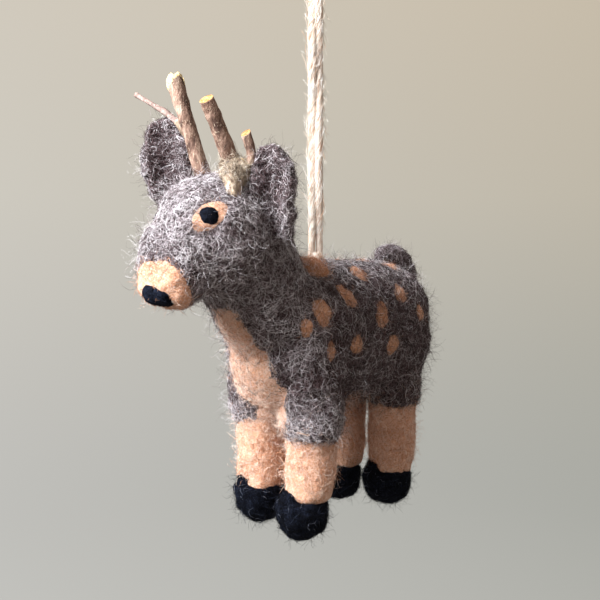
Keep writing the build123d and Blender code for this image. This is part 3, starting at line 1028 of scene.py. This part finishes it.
def twig_part(points, radii, seed, around=24, per=12, torn=False, ridges=0.1, cut=(0, 0, 0), skin=0, end=1):
    """A length of twig: ridged bark on a bent, tapering rod, with a cut or torn end. cut leans the
    cut face, and skin and end are the material slots of the bark and of the end."""
    line = smooth_line([place(*p) for p in points], per)
    radius = np.interp(np.linspace(0, len(radii) - 1, len(line)), range(len(radii)), radii)
    along = unit(np.gradient(line, axis=0))
    side = unit(np.cross(along, (0.2, 1.0, 0.1)))
    other = np.cross(along, side)
    face = unit(along[-1] + np.array(cut))
    verts = []
    rows = len(line)
    for i, centre in enumerate(line):
        fade = (i / (rows - 1)) ** 6
        for k in range(around):
            angle = 2 * math.pi * k / around
            out = side[i] * math.cos(angle) + other[i] * math.sin(angle)
            probe = Vector((math.cos(angle) * 2.2, math.sin(angle) * 2.2, i * 0.12 + seed * 7))
            rough = noise.noise(probe) + 0.6 * noise.noise(probe * 2.6) + 0.4 * noise.noise(probe * 6)
            wide = radius[i] * (1 + ridges * rough + 0.1 * noise.noise(Vector((seed, 0, i * 0.3))))
            slip = -wide * (out @ face) / (along[-1] @ face) * fade
            if torn:
                slip += fade * 1.3 * noise.noise(Vector((math.cos(angle) * 1.6, math.sin(angle) * 1.6, seed)))
                slip -= fade * 2.2 * math.exp(-((math.sin(angle - 0.9) / 0.3) ** 2))
            verts.append(centre + out * wide + along[i] * slip)
    rim = verts[-around:]
    centre = np.mean(rim, axis=0)
    end_rings = (0.86, 0.6, 0.3)
    for ring, share in enumerate(end_rings):
        for edge in rim:
            rough = noise.noise(Vector((edge[0] * 1.8, edge[1] * 1.8, seed + ring * 2.0)))
            verts.append(centre + (edge - centre) * share + face * rough * (1.1 if torn else 0.15))
    last = len(verts) - around
    verts += [centre, line[0] - along[0] * 0.2]
    faces = ring_faces(rows + len(end_rings), around)
    faces += [(last + k, last + (k + 1) % around, len(verts) - 2) for k in range(around)]
    bark = (rows - 1) * around
    slots = [skin] * bark + [end] * (len(faces) - bark) + [skin] * around
    faces += [(len(verts) - 1, (k + 1) % around, k) for k in range(around)]
    if torn:
        bare = 2 * around
        ends = [end if k % around < 9 or k > bare / 2 else skin for k in range(bare)]
        slots[bark - bare : bark] = ends
    return verts, faces, slots


def make_antlers():
    """Right: a straight beam with a torn end and a thin side twig. Left: a stem that forks at a
    shaggy node into a thick cut beam and a short tine."""
    beam = [(31.1, -1.9, 74), (32.4, -4.3, 83), (33.5, -6.3, 90), (34.8, -8.6, 98.5), (36.0, -11.4, 108.6)]
    twig_foot = [(33.6, -7.0, 94.0), (34.6, -9.4, 96.4), (35.2, -11.4, 98.6)]
    twig = [(35.0, -10.6, 97.8), (35.7, -14.4, 100.6), (36.4, -19.4, 103.4), (37.0, -24.8, 106.2)]
    right = [
        twig_part(beam, [1.95, 2.1, 1.95, 1.8, 1.75, 1.75, 2.1], 1, torn=True, ridges=0.14),
        twig_part(twig_foot, [1.2, 1.3, 0.9], 2, around=14, end=2, skin=3, ridges=0.25),
        twig_part(twig, [0.95, 0.72, 0.78, 0.6, 0.55, 0.66], 3, around=12, ridges=0.2, skin=4),
    ]
    stem = [(37.0, 9.4, 76.0), (36.4, 8.6, 80.6), (34.4, 6.6, 86.0)]
    left_beam = [(32.9, 5.7, 84.6), (34.5, 5.2, 90.0), (36.9, 4.4, 96.0), (39.2, 3.6, 101.2)]
    node = [(33.4, 5.7, 82.6), (33.2, 6.0, 85.6), (33.6, 6.0, 88.6)]
    elbow = [(33.2, 5.8, 85.4), (32.6, 7.9, 86.2), (32.3, 9.2, 87.8)]
    tine = [(32.4, 8.6, 84.8), (31.8, 9.9, 89.0), (32.3, 8.6, 94.2)]
    left = [
        twig_part(stem, [1.7, 1.9, 2.6], 4, ridges=0.22, skin=3),
        twig_part(left_beam, [2.0, 1.9, 1.75, 1.65], 5, ridges=0.07, cut=(0.25, -0.35, 0), end=2),
        twig_part(node, [2.0, 3.3, 2.0], 9, ridges=0.36, skin=3),
        twig_part(elbow, [2.7, 2.4, 1.5], 6, ridges=0.34, skin=3),
        twig_part(tine, [1.25, 1.1, 1.15], 7, around=16, ridges=0.08, cut=(0.3, -0.7, 0), end=2),
    ]
    skins = {}
    for name, parts in (("antler_left", left), ("antler_right", right)):
        verts, faces, slots = joined(parts)
        mats = [BARK, CUT_WOOD, BROWNED_WOOD, TORN_BARK, TWIG_BARK]
        skins[name] = Skin(add_object(name, world(verts), faces, mats, "deer", [name], slots))
    return skins


# ---------------------------------------------------------------- twine


def route_points():
    """The twine's route read from its spline: up the middle, round the open eye and down again."""
    low = EXIT_Z / MM - 1.2
    rise = [(0, low), (0, low * 0.78), (0, low * 0.56), (0, -34.0), (0, EYE_FOOT), (-0.95, EYE_NECK)]
    fall = [(-x, z) for x, z in reversed(rise)]
    spots = rise + LOOP_POINTS + fall
    curve = bpy.data.curves.new("route", "CURVE")
    curve.dimensions = "3D"
    curve.resolution_u = 24
    spline = curve.splines.new("NURBS")
    spline.points.add(len(spots) - 1)
    for point, (x, z) in zip(spline.points, spots):
        point.co = (x * MM, 0, z * MM, 1)
    spline.order_u = 3
    spline.use_endpoint_u = True
    holder = linked("route", curve)
    graph = bpy.context.evaluated_depsgraph_get()
    mesh = bpy.data.meshes.new_from_object(holder.evaluated_get(graph))
    line = mesh_points(mesh) / MM
    bpy.data.objects.remove(holder)
    return line


def even_line(line, gap):
    """The same line with points an even gap apart."""
    steps = np.linalg.norm(np.diff(line, axis=0), axis=1)
    far = np.concatenate([[0], np.cumsum(steps)])
    keep = np.concatenate([[True], np.diff(far) > 1e-9])
    spots = np.linspace(0, far[-1], int(far[-1] / gap) + 1)
    return np.stack([np.interp(spots, far[keep], line[keep, axis]) for axis in range(3)], 1)


def strand_line():
    """The strand's middle: below the eye its two halves lie side by side, barely twisted."""
    line = even_line(route_points(), 0.35)
    half = len(line) // 2
    low = EXIT_Z / MM
    for i, (_, _, z) in enumerate(line.copy()):
        first = i <= half
        together = 1 - smoothstep(EYE_FOOT, EYE_NECK, z)
        splay = 1 - smoothstep(low, low + 9, z)
        facing = math.radians(CAMERA_AZIMUTH) * (1 - smoothstep(-38, -24, z))
        turn = facing + 0.4 * math.sin(z / 8.0) * together
        angle = turn + (math.pi if first else 0)
        wander = 0.1 * noise.noise(Vector((3.0 if first else 9.0, 0, z * 0.12)))
        reach = (0.93 + wander) * together + 0.2 * splay
        line[i] += np.array((math.cos(angle), math.sin(angle), 0)) * reach
    return even_line(line, STRAND_GAP)


def strand_frame(line):
    along = unit(np.gradient(line, axis=0))
    side = unit(np.cross(along, (0.1, 1.0, 0.05)))
    return along, side, np.cross(along, side)


def make_twine():
    line = strand_line()
    _, side, other = strand_frame(line)
    around, plies = 18, 3
    verts = []
    for i, centre in enumerate(line):
        for k in range(around):
            angle = 2 * math.pi * k / around
            lobe = abs(math.cos(plies / 2 * (angle - i * STRAND_GAP * 2 * math.pi / PLY_PITCH)))
            rough = noise.noise(Vector((math.cos(angle), math.sin(angle), i * 0.3)))
            wide = STRAND * (0.86 + 0.14 * lobe**0.7 + 0.1 * rough)
            verts.append(centre + (side[i] * math.cos(angle) + other[i] * math.sin(angle)) * wide)
    rows = len(line)
    faces = ring_faces(rows, around)
    for row, flip in ((0, True), (rows - 1, False)):
        verts.append(line[row])
        for k in range(around):
            a, b = row * around + k, row * around + (k + 1) % around
            faces.append((len(verts) - 1, b, a) if flip else (len(verts) - 1, a, b))
    verts = np.array(verts) * MM
    twine = add_object("hanging_twine", verts, faces, [TWINE], "twine", ["twine_stem", "twine_loop"])
    return line


def twine_fibres(line):
    """Fine fibres that follow the strand's plies, some with an end that has come loose."""
    rng = np.random.default_rng(200)
    _, side, other = strand_frame(line)
    count, steps, bare = int(4700 * THIN), 8, 10
    long = rng.uniform(3, 12, count) / STRAND_GAP
    start = rng.uniform(bare, len(line) - 1 - bare - long)
    angle = rng.uniform(0, 2 * math.pi, count)
    twist = STRAND_GAP * 2 * math.pi / PLY_PITCH * rng.uniform(0.2, 1.2, count)
    out = STRAND * rng.uniform(0.88, 1.12, count)
    free = np.where(rng.random(count) < 0.16, rng.uniform(0.5, 2.2, count), 0.0)
    path = []
    for k in range(steps + 1):
        t = k / steps
        spot = start + long * t
        low = np.minimum(spot.astype(int), len(line) - 2)
        centre = line[low] + (line[low + 1] - line[low]) * (spot - low)[:, None]
        turn = (angle + twist * long * t)[:, None]
        arm = side[low] * np.cos(turn) + other[low] * np.sin(turn)
        path.append(centre + arm * (out + free * t**3 + rng.normal(0, 0.03, count))[:, None])
    kinds = draw_kinds(rng, np.tile((0.16, 0.26, 0.32, 0.26), (count, 1)))
    paths = local(np.stack(path, 1) * MM)
    widths = rng.uniform(0.06, 0.12, count)
    return fibre_piece("fibres_twine", [(paths, widths, kinds)], TWINE_HAIRS, "twine")


def make_knot():
    """The twine's knotted end, mostly hidden in the wool of the back."""
    hulls = [[((0, 0, BACK + 0.2), (2.0, 2.0, 1.5))]]
    return felted("anchor_knot_wool", hulls, 0.3, 2, 33, [(1.6, 0.5), (0.8, 0.2)], TWINE,
                  ["anchor_knot"], body="anchor")


def make_exit_tuft(skin, made):
    rays = straight_patch(place(*TUFT), (0.2, 0, 1), (0.7, -0.7, 0), 9.6, 11.0, 0, 110, 0.45)
    add_patch(made, "exit_tuft", laid_patch(skin, rays, thick=1.1), RUST_FELT)


# ---------------------------------------------------------------- stage


def make_camera():
    """The photo's viewing angle: from the left and front, a little above the deer's middle."""
    turn = math.radians(CAMERA_AZIMUTH)
    camera = bpy.data.cameras.new("camera")
    camera.lens = CAMERA_LENS
    camera.sensor_width = 36.0
    camera.clip_start = 0.01
    camera.clip_end = 20
    holder = linked("camera", camera)
    ahead = AIM_AHEAD + CAMERA_DISTANCE * math.cos(turn) - CAMERA_SIDESTEP * math.sin(turn)
    left = CAMERA_DISTANCE * math.sin(turn) + CAMERA_SIDESTEP * math.cos(turn)
    holder.location = Vector(world(place(ahead, left, CAMERA_HEIGHT)))
    holder.rotation_euler = (math.radians(90 - CAMERA_PITCH), 0, turn)
    bpy.context.scene.camera = holder


def lamp(name, size, power, azimuth, elevation, distance, colour):
    """A round soft lamp that looks at the deer from an azimuth and elevation in degrees."""
    light = bpy.data.lights.new(name, "AREA")
    light.shape = "DISK"
    light.size = size
    light.energy = power
    light.color = colour
    holder = linked(name, light)
    a, e = math.radians(azimuth), math.radians(elevation)
    out = Vector((math.sin(a) * math.cos(e), -math.cos(a) * math.cos(e), math.sin(e)))
    holder.location = Vector(LAMP_AIM) + out * distance
    holder.rotation_euler = (-out).to_track_quat("-Z", "Y").to_euler()
    holder.visible_camera = False


def paper_material(floor):
    """Pale paper that gives off its own light, with painted light on it: paler to the camera's left, the side
    of the window lamp, and at the top.
    """
    mat, tree, shader = fresh_material("paper", 0.95)
    coords = tree.nodes.new("ShaderNodeTexCoord")
    split = tree.nodes.new("ShaderNodeSeparateXYZ")
    tree.links.new(coords.outputs["Object"], split.inputs[0])
    height = range_node(tree, split.outputs["Z"], floor, floor + 0.7)
    turn = math.radians(CAMERA_AZIMUTH)
    shares = [
        math_node(tree, "MULTIPLY", split.outputs[axis], share)
        for axis, share in (("X", math.cos(turn)), ("Y", math.sin(turn)))
    ]
    aside = math_node(tree, "ADD", *shares)
    left = ramp_node(tree, height, [(0.0, "bdbcb8"), (0.45, "cbc7bd"), (1.0, "d2cabc")])
    right = ramp_node(tree, height, [(0.0, "a2a39c"), (0.45, "bcb5a6"), (1.0, "c8bca8")])
    # Painted light: the paper is paler towards the camera's left and the top.
    tint = mix_node(tree, range_node(tree, aside, -0.42, 0.42), left, right)
    tree.links.new(mix_node(tree, 1.0, tint, srgb("606060"), "MULTIPLY"), shader.inputs["Base Color"])
    tree.links.new(tint, shader.inputs["Emission Color"])
    shader.inputs["Emission Strength"].default_value = GLOW
    return mat


def make_floor():
    """A round pale floor that sweeps up into a wall all round, well below and behind the deer."""
    floor = SOLE - FLOOR_DROP
    around, bends = 96, 12
    profile = [(0.001, 0.0), (0.3, 0.0), (FLOOR_FLAT, 0.0)]
    for k in range(1, bends + 1):
        angle = math.radians(90 * k / bends)
        profile.append((FLOOR_FLAT + FLOOR_SWEEP * math.sin(angle), FLOOR_SWEEP * (1 - math.cos(angle))))
    profile.append((FLOOR_FLAT + FLOOR_SWEEP, WALL_TOP))
    turns = [2 * math.pi * k / around for k in range(around)]
    verts = [(r * math.cos(a), r * math.sin(a), floor + height) for r, height in profile for a in turns]
    mesh = bpy.data.meshes.new("floor")
    mesh.from_pydata(verts, [], [*ring_faces(len(profile), around), tuple(range(around))])
    mesh.polygons.foreach_set("use_smooth", np.ones(len(mesh.polygons), bool))
    mesh.materials.append(paper_material(floor))
    floor_piece = linked("floor", mesh)
    floor_piece.visible_diffuse = False


def make_light():
    sky = bpy.data.worlds.new("sky")
    sky.use_nodes = True
    background = sky.node_tree.nodes["Background"]
    background.inputs["Color"].default_value = (1.0, 0.88, 0.8, 1)
    background.inputs["Strength"].default_value = 0.34
    bpy.context.scene.world = sky
    lamp("window", 0.4, 17.0, CAMERA_AZIMUTH - 60, 36, 0.62, (0.96, 0.99, 1.03))
    lamp("fill", 0.7, 0.5, CAMERA_AZIMUTH + 20, 20, 0.7, (1.0, 0.95, 0.9))
    bpy.context.scene.view_settings.view_transform = "Standard"


# ---------------------------------------------------------------- fibres on the pieces


def coat_fibres(skin, patches):
    """The coat's fibres, few on the patches, in bands of equal area from the rump to the nose."""
    keep = np.ones(len(skin.centres))
    for name, (near, share) in COAT_ON_PATCH.items():
        keep[patches[name].near(skin.centres, near)] = share
    order = np.argsort(-skin.centres[:, 1])
    reached = np.cumsum((skin.areas * keep)[order])
    weigh = toned_weights(coat_tone_and_light)
    for number in range(COAT_BANDS):
        low, high = (reached[-1] * edge / COAT_BANDS for edge in (number, number + 1))
        band = np.zeros(len(keep))
        band[order[(reached > low) & (reached <= high)]] = 1
        furred(f"fibres_coat_{number}", skin, 200 + number, 2.4, 0.9, weigh, COAT_WOOL, keep * band)


def leg_fibres(skins):
    """Tan fibres on the shanks, above the hooves, and black ones on the hooves."""
    for number, (name, skin) in enumerate(skins.items()):
        lowest, weigh, wool = HOOF_TOP + 2, TAN_WEIGHTS, TAN_WOOL
        if name.startswith("hoof"):
            lowest, weigh, wool = 0, BLACK_WEIGHTS, BLACK_WOOL
        free = (skin.centres[:, 2] > lowest) + 0.0
        furred("fibres_" + name, skin, 140 + number, 2.0, 0.8, weigh, wool, free, 0.75, 0.85)


def patch_fibres(skins):
    """Fibres on the patches. The tan ones stay off the black patch that lies on them, and the
    tuft's stay off the twine."""
    tan_patches = {
        "chest_bib": (0.8, even_weights(0.04, 0.18, 0.38, 0.4)),
        "belly_panel": (0.8, TAN_WEIGHTS),
        "muzzle_band": (0.5, even_weights(0.34, 0.42, 0.18, 0.06)),
        "eye_ring_left": (0.4, TAN_WEIGHTS),
        "eye_ring_right": (0.4, TAN_WEIGHTS),
        "flank_spots_left": (0.45, RUST_WEIGHTS),
        "flank_spots_right": (0.45, RUST_WEIGHTS),
        "spine_spots": (0.5, RUST_WEIGHTS),
    }
    for number, (name, (reach, weigh)) in enumerate(tan_patches.items()):
        skin, free = skins[name], None
        if name in BLACK_ON_TAN:
            free = ~skins[BLACK_ON_TAN[name]].near(skin.centres, 0.5) + 0.0
        furred("fibres_" + name, skin, 160 + number, 1.8, 0.7, weigh, TAN_WOOL, free, reach, 0.8)
    for number, name in enumerate(("pupil_left", "pupil_right", "nose_patch")):
        skin, seed = skins[name], 180 + number
        furred("fibres_" + name, skin, seed, 1.6, 0.2, BLACK_WEIGHTS, BLACK_WOOL, None, 0.3, 0.7)
    skin = skins["exit_tuft"]
    free = (np.hypot(*skin.centres[:, :2].T) > 3.0) + 0.0
    furred("fibres_exit_tuft", skin, 190, 2.6, 3.0, RUST_WEIGHTS, TAN_WOOL, free, 0.7)


def node_fibres(skin):
    """Torn bast round the fork of the left antler."""
    shaggy = np.linalg.norm(skin.centres - place(*FORK), axis=1) < FORK_REACH
    weigh = even_weights(0.3, 0.4, 0.3)
    furred("fibres_antler_node", skin, 196, 3.6, 2.4, weigh, (BAST_HAIRS, "bark"), shaggy + 0.0, 0.5, 1.3)


# ---------------------------------------------------------------- build

make_camera()
twine_line = make_twine()
make_floor()
make_light()

coat = make_coat()
legs = make_legs()
patches = make_patches(coat)
ears = make_ears()
tail = make_tail()
antlers = make_antlers()
make_knot()
make_exit_tuft(coat, patches)
twine_fibres(twine_line)
for node in ("core_torso", "core_neck", "core_head"):
    frame["nodes"][node].data.materials.clear()
    frame["nodes"][node].data.materials.append(CORE_FELT)

coat_fibres(coat, patches)
for number, (side, ear) in enumerate(ears.items()):
    weigh = toned_weights(ear_tone_and_shade(side))
    furred("fibres_ear_" + side, ear, 120 + number, 2.6, 1.3, weigh, COAT_WOOL, reach=0.75)
furred("fibres_tail", tail, 130, 2.6, 1.4, even_weights(0.3, 0.3, 0.24, 0.16), COAT_WOOL, reach=0.75)
leg_fibres(legs)
patch_fibres(patches)
node_fibres(antlers["antler_left"])
